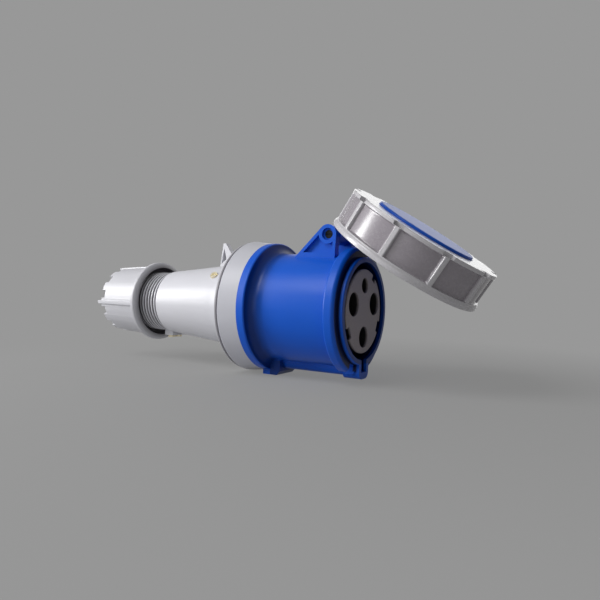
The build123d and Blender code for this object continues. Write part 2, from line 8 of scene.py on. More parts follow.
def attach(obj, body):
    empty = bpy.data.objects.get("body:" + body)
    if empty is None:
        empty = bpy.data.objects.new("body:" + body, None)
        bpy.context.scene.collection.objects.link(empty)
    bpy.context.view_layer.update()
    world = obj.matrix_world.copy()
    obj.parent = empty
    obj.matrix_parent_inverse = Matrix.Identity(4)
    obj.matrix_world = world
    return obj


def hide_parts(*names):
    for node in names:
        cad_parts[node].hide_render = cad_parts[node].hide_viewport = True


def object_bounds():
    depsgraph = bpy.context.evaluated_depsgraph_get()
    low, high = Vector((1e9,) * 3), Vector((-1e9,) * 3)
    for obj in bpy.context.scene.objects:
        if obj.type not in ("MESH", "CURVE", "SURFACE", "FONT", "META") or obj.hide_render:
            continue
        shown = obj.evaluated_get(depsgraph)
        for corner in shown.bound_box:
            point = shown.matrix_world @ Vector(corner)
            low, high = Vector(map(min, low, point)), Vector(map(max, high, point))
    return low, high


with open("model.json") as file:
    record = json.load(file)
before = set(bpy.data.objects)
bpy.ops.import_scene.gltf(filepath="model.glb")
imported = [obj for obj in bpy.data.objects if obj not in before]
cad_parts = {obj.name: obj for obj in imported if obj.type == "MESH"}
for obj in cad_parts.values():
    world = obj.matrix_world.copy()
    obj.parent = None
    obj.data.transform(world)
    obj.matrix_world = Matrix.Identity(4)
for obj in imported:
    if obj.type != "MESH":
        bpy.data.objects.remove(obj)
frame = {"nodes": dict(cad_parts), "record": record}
cadLow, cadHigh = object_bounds()
mm = 0.001                        # the frame is in metres
mouthX = 1.1 * mm                 # the mouth's edge, ahead of the insert's face at X = 0


def hexToLinear(text):
    channels = [int(text[i:i + 2], 16) / 255 for i in (1, 3, 5)]
    linear = [c / 12.92 if c <= 0.04045 else ((c + 0.055) / 1.055) ** 2.4 for c in channels]
    return (*linear, 1.0)


def addNode(tree, kind, inputs=None, **settings):
    node = tree.nodes.new(kind)
    for name, value in settings.items():
        setattr(node, name, value)
    for key, value in (inputs or {}).items():
        if isinstance(value, bpy.types.NodeSocket):
            tree.links.new(value, node.inputs[key])
        else:
            node.inputs[key].default_value = value
    return node


def newMaterial(name):
    material = bpy.data.materials.new(name)
    material.use_nodes = True
    tree = material.node_tree
    tree.nodes.clear()
    return material, tree


def finishMaterial(tree, shader):
    addNode(tree, "ShaderNodeOutputMaterial", {"Surface": shader.outputs[0]})


# The two colours are hex values or sockets
def mixedColour(tree, factor, first, second):
    inputs = {"Factor": factor, "A": first, "B": second}
    for key in ("A", "B"):
        if isinstance(inputs[key], str):
            inputs[key] = hexToLinear(inputs[key])
    return addNode(tree, "ShaderNodeMix", inputs, data_type="RGBA").outputs["Result"]


# Painted shade where a moulding lies in shade: the blue mouldings' bore, mouth step, the barrel
# beside the flange, foot and face, the insert's holes and the housing's thread grooves. "lip" is a
# darker band on the housing's lip behind the collar. Radii are from the connector's axis, the rest
# is ahead of the insert's face. Each pair goes from where the dark starts to where it is full, and
# "rear" is where it ends again. "share" is how much of the dark tone is mixed in there.
darkZones = {
    "bore": {"radii": (37 * mm, 35.5 * mm), "front": (-0.3 * mm, -4.5 * mm)},
    "step": {"radii": (44.6 * mm, 43.4 * mm), "front": (-0.4 * mm, -1.6 * mm),
             "rear": (-4.2 * mm, -3.4 * mm)},
    "flange": {"radii": (48.9 * mm, 48.2 * mm), "front": (-60 * mm, -69 * mm), "share": 0.7},
    "foot": {"radii": (41.8 * mm, 42.6 * mm), "front": (-60 * mm, -62.6 * mm),
             "rear": (-71.9 * mm, -71.7 * mm), "share": 0.6},
    "face": {"radii": (38.8 * mm, 38.0 * mm), "front": (2.0 * mm, 1.4 * mm), "share": 0.6},
    "hole": {"radii": (37 * mm, 35.5 * mm), "front": (-0.3 * mm, -2.0 * mm)},
    "thread": {"radii": (25.4 * mm, 24.5 * mm), "front": (-179.9 * mm, -180.1 * mm)},
    "lip": {"radii": (49.9 * mm, 50.3 * mm), "rear": (-97.0 * mm, -96.2 * mm), "share": 0.8},
}


def darkZone(tree, place, name):
    zone = darkZones[name]
    parts = addNode(tree, "ShaderNodeSeparateXYZ", {"Vector": place})
    across = addNode(tree, "ShaderNodeCombineXYZ",
                     {"Y": parts.outputs["Y"], "Z": parts.outputs["Z"]})
    radius = addNode(tree, "ShaderNodeVectorMath", {0: across.outputs[0]}, operation="LENGTH")
    limits = [(radius.outputs["Value"], zone["radii"])]
    limits += [(parts.outputs["X"], zone[side]) for side in ("front", "rear") if side in zone]
    dark = zone.get("share", 1.0)
    for value, (start, full) in limits:
        limit = addNode(tree, "ShaderNodeMapRange",
                        {"Value": value, "From Min": start, "From Max": full})
        dark = addNode(tree, "ShaderNodeMath", {0: limit.outputs["Result"], 1: dark},
                       operation="MULTIPLY").outputs[0]
    return dark


# The darkest of several zones, for mouldedPlastic to ask for in its own tree
def darkIn(*names):
    def darkest(tree, place):
        dark = darkZone(tree, place, names[0])
        for name in names[1:]:
            dark = addNode(tree, "ShaderNodeMath", {0: dark, 1: darkZone(tree, place, name)},
                           operation="MAXIMUM").outputs[0]
        return dark

    return darkest


# Painted shade for the ring and the nut, read from what is stored on their points
def paintedShade(tree, place):
    return addNode(tree, "ShaderNodeAttribute", attribute_name="paintedShade").outputs["Fac"]


# Injection moulded polyamide: a satin skin with the fine grain of the tool and slow sink waves
moulded = {
    "toneSize": 35 * mm,
    "grainSize": 0.55 * mm,       # coarser than real spark grain, so that it shows
    "grainHeight": 0.012 * mm, "grainStrength": 0.5,
    "sinkSize": 22 * mm, "sinkHeight": 0.05 * mm, "sinkStrength": 0.6,
    "scuffSize": 2.6 * mm, "scuffRange": (0.3, 0.7),
    "shinier": 0.02, "duller": 0.04,   # how far scuffs move the roughness, either way
    "coatRoughness": 0.15,
}


def mouldedPlastic(name, base, lighter, roughness, grain=1.0, ior=1.53, coat=0.0, dark=None):
    look = moulded
    material, tree = newMaterial(name)
    place = addNode(tree, "ShaderNodeTexCoord").outputs["Object"]
    tone = addNode(tree, "ShaderNodeTexNoise",
                   {"Vector": place, "Scale": 1 / look["toneSize"], "Detail": 2.0})
    colour = mixedColour(tree, tone.outputs["Fac"], base, lighter)
    # Mixes in the dark tone where the mask says: painted shade, and on the housing's lip a darker
    # band
    if dark:
        darkTone, where = dark
        colour = mixedColour(tree, where(tree, place), colour, darkTone)
    fine = addNode(tree, "ShaderNodeTexNoise",
                   {"Vector": place, "Scale": 1 / look["grainSize"], "Detail": 2.0})
    slow = addNode(tree, "ShaderNodeTexNoise",
                   {"Vector": place, "Scale": 1 / look["sinkSize"], "Detail": 1.0})
    scuff = addNode(tree, "ShaderNodeTexNoise",
                    {"Vector": place, "Scale": 1 / look["scuffSize"], "Detail": 5.0,
                     "Roughness": 0.7})
    scuffLow, scuffHigh = look["scuffRange"]
    dull = addNode(tree, "ShaderNodeMapRange",
                   {"Value": scuff.outputs["Fac"], "From Min": scuffLow, "From Max": scuffHigh,
                    "To Min": roughness - look["shinier"], "To Max": roughness + look["duller"]})
    sink = addNode(tree, "ShaderNodeBump",
                   {"Height": slow.outputs["Fac"], "Distance": look["sinkHeight"],
                    "Strength": look["sinkStrength"]})
    bump = addNode(tree, "ShaderNodeBump",
                   {"Height": fine.outputs["Fac"], "Distance": look["grainHeight"],
                    "Strength": look["grainStrength"] * grain, "Normal": sink.outputs["Normal"]})
    shader = addNode(tree, "ShaderNodeBsdfPrincipled",
                     {"Base Color": colour, "Roughness": dull.outputs["Result"],
                      "IOR": ior, "Coat Weight": coat, "Coat Roughness": look["coatRoughness"],
                      "Normal": bump.outputs["Normal"]})
    finishMaterial(tree, shader)
    return material


# Glass-filled polyamide: matt, with short pale fibres just under the skin, and near-black painted
# shade down the holes
insulator = {
    "resin": "#9a9194", "fibre": "#ada5a8", "holeShade": "#060506",
    "fleckSize": 0.9 * mm, "fleckRange": (0.45, 0.75), "fleckHeight": 0.02 * mm,
    "bumpStrength": 0.5, "roughness": 0.55, "ior": 1.5,
}


def filledInsulator(name):
    look = insulator
    material, tree = newMaterial(name)
    place = addNode(tree, "ShaderNodeTexCoord").outputs["Object"]
    flecks = addNode(tree, "ShaderNodeTexNoise",
                     {"Vector": place, "Scale": 1 / look["fleckSize"], "Detail": 4.0})
    fleckLow, fleckHigh = look["fleckRange"]
    shown = addNode(tree, "ShaderNodeMapRange",
                    {"Value": flecks.outputs["Fac"], "From Min": fleckLow, "From Max": fleckHigh})
    fibres = mixedColour(tree, shown.outputs["Result"], look["resin"], look["fibre"])
    colour = mixedColour(tree, darkZone(tree, place, "hole"), fibres, look["holeShade"])
    bump = addNode(tree, "ShaderNodeBump",
                   {"Height": flecks.outputs["Fac"], "Distance": look["fleckHeight"],
                    "Strength": look["bumpStrength"]})
    shader = addNode(tree, "ShaderNodeBsdfPrincipled",
                     {"Base Color": colour, "Roughness": look["roughness"], "IOR": look["ior"],
                      "Normal": bump.outputs["Normal"]})
    finishMaterial(tree, shader)
    return material


# Turned metal: fine rings left by the tool across X, and a thin tarnish in patches. The rings
# are drawn two pitches apart, coarser than the tool leaves them, so that they show.
turned = {
    "waver": 1.5, "ridgeHeight": 0.01 * mm, "bumpStrength": 0.4,
    "stainSize": 4 * mm, "stainRange": (0.4, 0.65), "shinier": 0.06, "duller": 0.12,
}


def turnedMetal(name, base, tarnish, roughness, ringPitch, metallic=1.0):
    look = turned
    material, tree = newMaterial(name)
    place = addNode(tree, "ShaderNodeTexCoord").outputs["Object"]
    rings = addNode(tree, "ShaderNodeTexWave",
                    {"Vector": place, "Scale": 1 / (ringPitch * 2 * math.pi),
                     "Distortion": look["waver"], "Detail": 1.0}, bands_direction="X")
    stain = addNode(tree, "ShaderNodeTexNoise",
                    {"Vector": place, "Scale": 1 / look["stainSize"], "Detail": 3.0})
    stainLow, stainHigh = look["stainRange"]
    spread = addNode(tree, "ShaderNodeMapRange",
                     {"Value": stain.outputs["Fac"], "From Min": stainLow, "From Max": stainHigh})
    colour = mixedColour(tree, spread.outputs["Result"], base, tarnish)
    dull = addNode(tree, "ShaderNodeMapRange",
                   {"Value": stain.outputs["Fac"], "To Min": roughness - look["shinier"],
                    "To Max": roughness + look["duller"]})
    bump = addNode(tree, "ShaderNodeBump",
                   {"Height": rings.outputs["Fac"], "Distance": look["ridgeHeight"],
                    "Strength": look["bumpStrength"]})
    shader = addNode(tree, "ShaderNodeBsdfPrincipled",
                     {"Base Color": colour, "Metallic": metallic,
                      "Roughness": dull.outputs["Result"], "Normal": bump.outputs["Normal"]})
    finishMaterial(tree, shader)
    return material


# Moulded black rubber: dull, with a faint grey bloom in patches
sealing = {
    "black": "#141416", "bloom": "#2c2c2f", "bloomSize": 6 * mm,
    "grainSize": 0.4 * mm, "grainHeight": 0.02 * mm, "bumpStrength": 0.4,
    "roughness": 0.62, "ior": 1.52,
}


def sealRubber(name):
    look = sealing
    material, tree = newMaterial(name)
    place = addNode(tree, "ShaderNodeTexCoord").outputs["Object"]
    bloom = addNode(tree, "ShaderNodeTexNoise",
                    {"Vector": place, "Scale": 1 / look["bloomSize"], "Detail": 4.0})
    colour = mixedColour(tree, bloom.outputs["Fac"], look["black"], look["bloom"])
    grain = addNode(tree, "ShaderNodeTexNoise",
                    {"Vector": place, "Scale": 1 / look["grainSize"], "Detail": 2.0})
    bump = addNode(tree, "ShaderNodeBump",
                   {"Height": grain.outputs["Fac"], "Distance": look["grainHeight"],
                    "Strength": look["bumpStrength"]})
    shader = addNode(tree, "ShaderNodeBsdfPrincipled",
                     {"Base Color": colour, "Roughness": look["roughness"], "IOR": look["ior"],
                      "Normal": bump.outputs["Normal"]})
    finishMaterial(tree, shader)
    return material


# Dyed polyamide of the sleeve and lid: strong blue with a soft sheen, and near-navy painted shade
# in the bore, on the mouth step, beside the flange, on the foot and on the face
sleeveBlue = mouldedPlastic(
    "sleeveBluePolyamide", "#0853c3", "#0b58c9", 0.35, ior=1.37,
    dark=("#020d36", darkIn("bore", "step", "flange", "foot", "face")))
# Pale polyamide of the housing: even and satin, with painted shade between the threads and a darker
# band on the lip behind the collar
housingGrey = mouldedPlastic(
    "housingGreyPolyamide", "#c5c5cb", "#cbcbd1", 0.40, dark=("#5e5a61", darkIn("thread", "lip")))
# Polished polyamide of the ring: sharp gleams on the ribs, and warmer, darker painted shade on the
# sunk panels
ringGrey = mouldedPlastic(
    "ringGreyPolyamide", "#bdbbbf", "#c4c2c6", 0.26, grain=0.15, coat=0.6,
    dark=("#938d94", paintedShade))
# Cooler grey polyamide of the collar: a wide soft highlight that sets it off from the housing
collarGrey = mouldedPlastic("collarGreyPolyamide", "#bcbdc5", "#c3c3ca", 0.36)
# Satin polyamide of the nut: pale ribs behind a front rim in mid grey painted shade, and darker
# painted shade in the pocket
nutGrey = mouldedPlastic(
    "nutGreyPolyamide", "#b8b8be", "#bfbfc4", 0.38, dark=("#4c494e", paintedShade))
insertGrey = filledInsulator("insertFilledPolyamide")
# Brass of the contacts down the holes, painted dark brown as shade and almost without a gleam
contactBrass = turnedMetal("contactBrassPaintedShade", "#3d3423", "#1f1b15", 0.45, 0.25 * mm)
# Bright turned brass of the small screws: a pale yellow glint
screwBrass = turnedMetal(
    "screwTurnedBrass", "#fdf3d6", "#e2d6b0", 0.3, 0.2 * mm, metallic=0.6)
# Steel of the hinge pin and hidden screws, made near black: reads black, with a thin bright edge
pinSteel = turnedMetal("pinNearBlackSteel", "#303133", "#1d1e1f", 0.34, 0.3 * mm)
rubber = sealRubber("sealBlackRubber")

finishes = {
    "front_sleeve": sleeveBlue, "cover_lid": sleeveBlue, "contact_insert": insertGrey,
    "contact_retainer": insertGrey, "housing_collar": collarGrey, "rear_housing": housingGrey,
    "bayonet_ring": ringGrey, "gland_nut": nutGrey, "thrust_washer": nutGrey,
    "cable_clamp": nutGrey, "pole_contact_left": contactBrass,
    "pole_contact_right": contactBrass, "earth_contact": contactBrass,
    "pilot_contact": contactBrass, "housing_screws": screwBrass, "clamp_screws": screwBrass,
    "terminal_screws": pinSteel, "retainer_screws": pinSteel, "hinge_pin": pinSteel,
    "seal_bush": rubber, "sleeve_seal": rubber, "cover_gasket": rubber,
}


def dressNodes():
    for name, node in frame["nodes"].items():
        node.data.materials.clear()
        node.data.materials.append(finishes[name])
    print("nodes dressed:", len(finishes))


def bodyAndSlot():
    bodyOf = {}
    for body, nodes in frame["record"]["behaviour"]["bodies"].items():
        for node in nodes:
            bodyOf[node] = body
    slotOf = {part["node"]: part["material_slot"] for part in frame["record"]["subparts"]}
    return bodyOf, slotOf


bodyOf, slotOf = bodyAndSlot()


# A finished piece takes the place and the body of the CAD node it stands for
def standFor(piece, name):
    for face in piece.data.polygons:
        face.use_smooth = True
    weight = piece.modifiers.new("flatFaces", "WEIGHTED_NORMAL")
    weight.keep_sharp = False
    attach(piece, bodyOf[name])
    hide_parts(name)


def placeInScene(name, data):
    thing = bpy.data.objects.new(name, data)
    bpy.context.scene.collection.objects.link(thing)
    return thing


# Mouldings whose edges the tool leaves a little round, and the width of the round
softEdges = {
    "front_sleeve": 0.55 * mm, "cover_lid": 0.5 * mm, "housing_collar": 0.5 * mm,
    "rear_housing": 0.5 * mm, "contact_insert": 0.35 * mm,
}
softening = {
    "merge": 0.005 * mm, "segments": 3,
    "flatAngle": 0.6, "sharpAngle": 38.0,   # degrees: flatter edges go, sharper ones are rounded
}


def softenMouldings():
    for name, width in softEdges.items():
        mesh = bmesh.new()
        mesh.from_mesh(frame["nodes"][name].data)
        bmesh.ops.remove_doubles(mesh, verts=mesh.verts, dist=softening["merge"])
        bmesh.ops.dissolve_limit(mesh, angle_limit=math.radians(softening["flatAngle"]),
                                 verts=mesh.verts, edges=mesh.edges)
        data = bpy.data.meshes.new(name + "Soft")
        mesh.to_mesh(data)
        mesh.free()
        data.materials.append(finishes[name])
        piece = placeInScene(name + "Soft", data)
        bevel = piece.modifiers.new("edgeRound", "BEVEL")
        bevel.width = width
        bevel.segments = softening["segments"]
        bevel.limit_method = "ANGLE"
        bevel.angle_limit = math.radians(softening["sharpAngle"])
        bevel.use_clamp_overlap = True
        standFor(piece, name)
    print("mouldings softened:", len(softEdges))


# Geometry Nodes: turns copies of one sector round the X axis and welds them into a whole ring
def turnTree():
    tree = bpy.data.node_groups.new("turnSectors", "GeometryNodeTree")
    sockets = {}
    for name, kind in (("Sector", "NodeSocketGeometry"), ("Copies", "NodeSocketInt"),
                       ("First Angle", "NodeSocketFloat"), ("Weld", "NodeSocketFloat"),
                       ("Finish", "NodeSocketMaterial")):
        socket = tree.interface.new_socket(name, in_out="INPUT", socket_type=kind)
        sockets[name] = socket.identifier
    tree.interface.new_socket("Ring", in_out="OUTPUT", socket_type="NodeSocketGeometry")
    given = addNode(tree, "NodeGroupInput").outputs
    points = addNode(tree, "GeometryNodeMeshLine",
                     {"Count": given["Copies"], "Offset": (0, 0, 0)})
    index = addNode(tree, "GeometryNodeInputIndex").outputs[0]
    step = addNode(tree, "ShaderNodeMath", {0: 2 * math.pi, 1: given["Copies"]},
                   operation="DIVIDE")
    angle = addNode(tree, "ShaderNodeMath",
                    {0: index, 1: step.outputs[0], 2: given["First Angle"]},
                    operation="MULTIPLY_ADD")
    turn = addNode(tree, "ShaderNodeCombineXYZ", {"X": angle.outputs[0]})
    copies = addNode(tree, "GeometryNodeInstanceOnPoints",
                     {"Points": points.outputs[0], "Instance": given["Sector"],
                      "Rotation": turn.outputs[0]})
    real = addNode(tree, "GeometryNodeRealizeInstances", {"Geometry": copies.outputs[0]})
    welded = addNode(tree, "GeometryNodeMergeByDistance",
                     {"Geometry": real.outputs[0], "Distance": given["Weld"]})
    finish = addNode(tree, "GeometryNodeSetMaterial",
                     {"Geometry": welded.outputs[0], "Material": given["Finish"]})
    addNode(tree, "NodeGroupOutput", {"Ring": finish.outputs[0]})
    return tree, sockets


turnSectors, turnSockets = turnTree()
turning = {
    "weld": 0.002 * mm,
    "cornerSteps": 4,             # faces across each rounded corner
    "roundShare": 0.45,           # a round takes no more than this share of an edge
    "slopeSteps": 5,              # columns across each side of a rib or notch
}


def softStep(value):
    value = min(max(value, 0.0), 1.0)
    return value * value * (3 - 2 * value)


# Corners are (along the axis, radius, size of the round). Each becomes the same number of points.
def roundedLoop(corners):
    points = []
    share, steps = turning["roundShare"], turning["cornerSteps"]
    for i, (x, r, soft) in enumerate(corners):
        corner = Vector((x, r))
        before = Vector(corners[i - 1][:2]) - corner
        after = Vector(corners[(i + 1) % len(corners)][:2]) - corner
        start = corner + before.normalized() * min(soft, share * before.length)
        end = corner + after.normalized() * min(soft, share * after.length)
        for j in range(steps + 1):
            t = j / steps
            points.append(start * (1 - t) ** 2 + corner * 2 * t * (1 - t) + end * t ** 2)
    return points


def polarPoint(mesh, x, r, a):
    return mesh.verts.new((x, r * math.cos(a), r * math.sin(a)))


# Faces between neighbouring loops of the same length
def bridgeLoops(mesh, loops):
    for left, right in zip(loops, loops[1:]):
        for i in range(len(left)):
            j = (i + 1) % len(left)
            mesh.faces.new((left[i], left[j], right[j], right[i]))


# One sector of a turned form, lofted through its outline at each angle and turned by the tree
def turnedFromSector(name, angles, outlineAt, count, firstAngle, finish):
    mesh = bmesh.new()
    bridgeLoops(mesh, [[polarPoint(mesh, x, r, math.radians(angle))
                        for x, r in roundedLoop(outlineAt(angle))] for angle in sorted(angles)])
    data = bpy.data.meshes.new(name + "Sector")
    mesh.to_mesh(data)
    mesh.free()
    piece = placeInScene(name, data)
    modifier = piece.modifiers.new("sectors", "NODES")
    modifier.node_group = turnSectors
    for key, value in (("Copies", count), ("First Angle", math.radians(firstAngle)),
                       ("Weld", turning["weld"]), ("Finish", finish)):
        modifier[turnSockets[key]] = value
    evaluated = piece.evaluated_get(bpy.context.evaluated_depsgraph_get())
    solid = bpy.data.meshes.new_from_object(evaluated)
    piece.modifiers.remove(modifier)
    piece.data = solid
    piece.data.name = name
    return piece


# Angles across the two slopes of a rib or notch, each of them half its width from the middle
def slopeAngles(middle, half, slope):
    steps = turning["slopeSteps"]
    return [middle + side * (half + slope * i / steps)
            for side in (-1, 1) for i in range(steps + 1)]


def evenAngles(low, high, step):
    return [low + i * step for i in range(int((high - low) / step) + 1)]


def outwardFaces(data):
    mesh = bmesh.new()
    mesh.from_mesh(data)
    bmesh.ops.recalc_face_normals(mesh, faces=mesh.faces)
    mesh.to_mesh(data)
    mesh.free()


# Stores how deep the painted shade is at each point, from its distance ahead of the mouth and its
# radius
def markPaintedShade(data, shadeAt):
    shadeLayer = data.attributes.new("paintedShade", "FLOAT", "POINT")
    for i, vertex in enumerate(data.vertices):
        x, y, z = vertex.co
        shadeLayer.data[i].value = shadeAt(x - mouthX, math.hypot(y, z))


# Bayonet ring, drawn closed: distances ahead of the mouth, radii, and angles in degrees
ringSizes = {
    "rear": -13.7 * mm, "front": 13.4 * mm, "outer": 55.9 * mm, "inner": 51.6 * mm,
    "bandFront": -9.5 * mm, "bandSlope": 1.2 * mm, "bandRadius": 56.8 * mm,
    "panelRear": -8.9 * mm, "panelFront": 10.8 * mm, "panelRadius": 53.6 * mm,
    "panelSlope": 0.4 * mm, "hole": 36.7 * mm, "topThickness": 3.0 * mm,
    "ribs": 10, "ribWidth": 2.8 * mm, "ribSlope": 1.3 * mm, "firstRib": 2.6,
    "notchWidth": 7.4 * mm, "notchSlope": 0.4 * mm, "notchDepth": 2.4 * mm,
    "notchInner": 52.0 * mm, "notchFoot": 0.2 * mm,
    "columnStep": 2.0, "ribClear": 5.0, "ribColumns": (-0.7, 0.0, 0.7),
    "toothSteps": 6, "toothBite": 1 * mm,   # each tooth reaches this far into the ring's wall
}
# The cover's hinge, behind the mouth and above the axis, and how far it is open as shown
hinge = {"behind": 24.4 * mm, "up": 54.6 * mm, "open": 57.0}
# What the ring holds on the plug and on the lid with. "middles" and "span" are in degrees.
ringTeeth = {
    "lugs": {"middles": (72.0, 252.0), "span": 8.0, "rear": -13.55 * mm,
             "front": -11.55 * mm, "inner": 42.6 * mm},
    "lugRoots": {"middles": (72.0, 252.0), "span": 8.0, "rear": -13.55 * mm,
                 "front": -9.55 * mm, "inner": 48.2 * mm},
    "beads": {"middles": (60.0, 180.0, 300.0), "span": 18.0, "rear": 5.1 * mm,
              "front": 6.3 * mm, "inner": 49.7 * mm},
}


def ringOutline(angle):
    size = ringSizes
    across = abs(math.radians(angle)) * size["outer"]
    panel = softStep((across - size["ribWidth"] / 2) / size["ribSlope"])
    notch = 1 - softStep((across - size["notchWidth"] / 2) / size["notchSlope"])
    floor = size["outer"] - (size["outer"] - size["panelRadius"]) * panel
    front = size["front"] - size["notchDepth"] * notch
    under = size["front"] - size["topThickness"]
    corners = [
        (size["rear"], size["inner"], 0.4),
        (size["rear"], size["bandRadius"], 0.9),
        (size["bandFront"] - size["bandSlope"], size["bandRadius"], 0.8),
        (size["bandFront"], size["outer"], 0.3),
        (size["panelRear"], size["outer"], 0.3),
        (size["panelRear"] + size["panelSlope"], floor, 0.9),
        (size["panelFront"] - size["panelSlope"], floor, 0.9),
        (size["panelFront"], size["outer"], 0.6),
        (front, size["outer"], 0.8),
        (front, size["notchInner"] + size["notchFoot"], 0.2),
        (size["front"], size["notchInner"], 0.4),
        (size["front"], size["hole"], 0.4),
        (under, size["hole"], 0.3),
        (under, size["inner"], 0.6),
    ]
    return [(mouthX + x, r, soft * mm) for x, r, soft in corners]


def ringAngles():
    size = ringSizes
    degrees = math.degrees(1 / size["outer"])
    half = 180 / size["ribs"]
    angles = {round(angle, 4) for angle in evenAngles(-half, half, size["columnStep"])}
    angles = {angle for angle in angles if abs(angle) > size["ribClear"]}
    angles |= set(size["ribColumns"])
    for width, slope in (("ribWidth", "ribSlope"), ("notchWidth", "notchSlope")):
        angles |= set(slopeAngles(0.0, size[width] / 2 * degrees, size[slope] * degrees))
    return angles


def ringTooth(mesh, middle, tooth):
    steps, outer = ringSizes["toothSteps"], ringSizes["inner"] + ringSizes["toothBite"]
    section = ((tooth["rear"], tooth["inner"]), (tooth["front"], tooth["inner"]),
               (tooth["front"], outer), (tooth["rear"], outer))
    loops = []
    for i in range(steps + 1):
        a = math.radians(middle + tooth["span"] * (i / steps - 0.5))
        loops.append([polarPoint(mesh, mouthX + x, r, a) for x, r in section])
    bridgeLoops(mesh, loops)
    mesh.faces.new(loops[0])
    mesh.faces.new(loops[-1])


# Painted shade on the ring's sunk panels, deepest where they sink furthest
def panelShade(ahead, radius):
    size = ringSizes
    outside = (size["inner"] + size["panelRadius"]) / 2
    if size["panelRear"] < ahead < size["panelFront"] and radius > outside:
        return softStep((size["outer"] - radius) / (size["outer"] - size["panelRadius"]))
    return 0.0


def makeBayonetRing():
    piece = turnedFromSector("bayonetRing", ringAngles(), ringOutline, ringSizes["ribs"],
                             ringSizes["firstRib"], finishes["bayonet_ring"])
    mesh = bmesh.new()
    mesh.from_mesh(piece.data)
    for tooth in ringTeeth.values():
        for middle in tooth["middles"]:
            ringTooth(mesh, middle, tooth)
    mesh.to_mesh(piece.data)
    mesh.free()
    outwardFaces(piece.data)
    markPaintedShade(piece.data, panelShade)
    pivot = Vector((mouthX - hinge["behind"], 0, hinge["up"]))
    swing = Matrix.Rotation(math.radians(hinge["open"]), 4, Vector((0, -1, 0)))
    piece.data.transform(Matrix.Translation(pivot) @ swing @ Matrix.Translation(-pivot))
    standFor(piece, "bayonet_ring")
    print("bayonet ring:", len(piece.data.polygons), "faces")


# Gland nut: distances behind the mouth, radii, and angles in degrees. A quarter holds one long
# rib and three gaps.
nutSizes = {
    "front": 197.0 * mm, "rear": 245.5 * mm, "frontInner": 29.8 * mm, "rimRadius": 34.4 * mm,
    "rimEdge": 2.4 * mm, "rimRear": 5.6 * mm, "rimSlope": 1.5 * mm, "pocketEnd": 28.2 * mm,
    "bodyFront": 30.2 * mm, "bodyRear": 28.4 * mm, "clawWall": 3.6 * mm, "clawLength": 8.0 * mm,
    "opening": 16.5 * mm, "seat": 225.6 * mm, "washerRoom": 23.9 * mm,
    "washerFront": 222.6 * mm, "bore": 25.8 * mm, "boreStart": 1 * mm,
    "quarters": 4, "firstRib": 5.0, "ribHalf": 2.4, "ribSlope": 1.2, "ribFront": 1.3 * mm,
    "ribRear": 0.7 * mm, "ribOver": 4.0 * mm, "ribInner": 0.8 * mm,
    "gaps": (-15.0, 15.0, 45.0), "gapHalf": 7.0, "gapSlope": 0.8, "gapDepth": 4.0 * mm,
    "sector": (-30.0, 60.0), "columnStep": 2.5, "edgeClear": 0.5,
    # Painted shade on the front rim and in the pocket: how dark, and how far each reaches
    "rimShadeTone": 0.75, "rimShadeReach": 0.8, "pocketShadeTone": 1.0, "pocketShadeDepth": 2 * mm,
}


def nutOutline(angle):
    size = nutSizes
    rib = 1 - softStep((abs(angle) - size["ribHalf"]) / size["ribSlope"])
    gap = 0.0
    for middle in size["gaps"]:
        gap = max(gap, 1 - softStep((abs(angle - middle) - size["gapHalf"]) / size["gapSlope"]))
    rear = size["rear"] + size["ribOver"] * rib - size["gapDepth"] * gap
    clawFront = size["rear"] - size["clawLength"]
    clawInner = size["bodyRear"] - size["clawWall"]
    rimRear = size["front"] + size["rimRear"]
    corners = [
        (size["front"], size["frontInner"], 0.3),
        (size["front"] + size["rimEdge"], size["rimRadius"], 1.0),
        (rimRear, size["rimRadius"], 0.7),
        (rimRear + size["rimSlope"], size["bodyFront"] + size["ribFront"] * rib, 1.0),
        (rear, size["bodyRear"] + size["ribRear"] * rib, 0.5),
        (rear, clawInner + size["ribInner"] * rib, 0.4),
        (clawFront, clawInner, 0.4),
        (clawFront, size["opening"], 0.4),
        (size["seat"], size["opening"], 0.3),
        (size["seat"], size["washerRoom"], 0.2),
        (size["washerFront"], size["washerRoom"], 0.2),
        (size["washerFront"] - size["bore"] + size["washerRoom"], size["bore"], 0.2),
        (rimRear + size["boreStart"], size["bore"], 0.2),
        (rimRear, size["pocketEnd"], 0.3),
    ]
    return [(mouthX - s, r, soft * mm) for s, r, soft in corners]


def nutAngles():
    size = nutSizes
    clear = size["edgeClear"]
    slopes = [(0.0, size["ribHalf"], size["ribSlope"])]
    slopes += [(middle, size["gapHalf"], size["gapSlope"]) for middle in size["gaps"]]
    angles = set(evenAngles(*size["sector"], size["columnStep"]))
    for middle, half, slope in slopes:
        angles = {angle for angle in angles
                  if not half - clear < abs(angle - middle) < half + slope + clear}
    for middle, half, slope in slopes:
        angles |= set(slopeAngles(middle, half, slope))
    return angles


# Painted shade on the nut's front rim and in the pocket inside it
def rimShade(ahead, radius):
    size = nutSizes
    intoNut = -ahead - size["front"]
    if intoNut < size["rimEdge"] * size["rimShadeReach"] and radius > size["frontInner"]:
        return size["rimShadeTone"]
    if intoNut < size["rimRear"] + size["pocketShadeDepth"] and radius < size["frontInner"]:
        return size["pocketShadeTone"]
    return 0.0


def makeGlandNut():
    piece = turnedFromSector("glandNut", nutAngles(), nutOutline, nutSizes["quarters"],
                             nutSizes["firstRib"], finishes["gland_nut"])
    outwardFaces(piece.data)
    markPaintedShade(piece.data, rimShade)
    standFor(piece, "gland_nut")
    print("gland nut:", len(piece.data.polygons), "faces")


